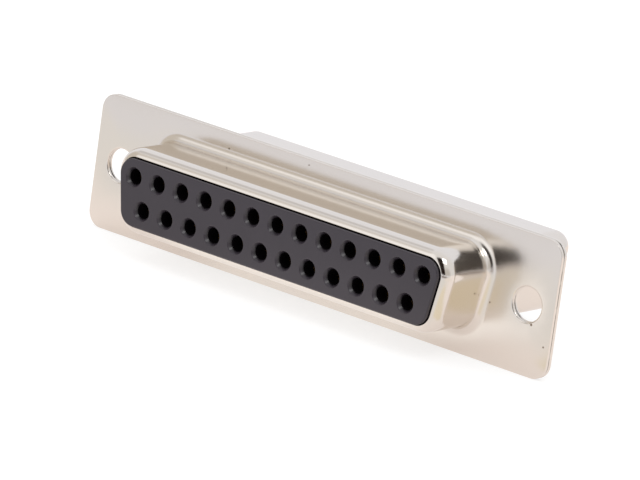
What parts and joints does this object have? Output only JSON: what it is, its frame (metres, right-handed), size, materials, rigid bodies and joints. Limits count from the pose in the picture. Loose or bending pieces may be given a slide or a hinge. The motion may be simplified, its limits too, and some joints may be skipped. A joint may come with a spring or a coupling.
{
  "type": "d-sub connector",
  "caption": "Slim D-sub socket connector with a socket face at both ends, two drawn steel D shells back to back and round-holed mounting flanges.",
  "frame": {"origin": "front face of the flange, midway between the two mounting holes", "axes": "+X along the flange, to the right as seen from the front; +Z towards the wide side of the D; -Y out of the front socket face"},
  "size_m": [0.053, 0.0189, 0.0126],
  "materials": {
    "front_plating": "tin plated steel, semi-gloss",
    "rear_plating": "tin plated steel, semi-gloss",
    "insulator_plastic": "glass filled polyester, satin, dark grey",
    "contact_plating": "gold flashed brass"
  },
  "bodies": {
    "root": {"front_shell": "front_plating", "rear_shell": "rear_plating", "front_insulator": "insulator_plastic", "rear_insulator": "insulator_plastic", "contact_01": "contact_plating", "contact_02": "contact_plating", "contact_03": "contact_plating", "contact_04": "contact_plating", "contact_05": "contact_plating", "contact_06": "contact_plating", "contact_07": "contact_plating", "contact_08": "contact_plating", "contact_09": "contact_plating", "contact_10": "contact_plating", "contact_11": "contact_plating", "contact_12": "contact_plating", "contact_13": "contact_plating", "contact_14": "contact_plating", "contact_15": "contact_plating", "contact_16": "contact_plating", "contact_17": "contact_plating", "contact_18": "contact_plating", "contact_19": "contact_plating", "contact_20": "contact_plating", "contact_21": "contact_plating", "contact_22": "contact_plating", "contact_23": "contact_plating", "contact_24": "contact_plating", "contact_25": "contact_plating"}
  },
  "joints": []
}
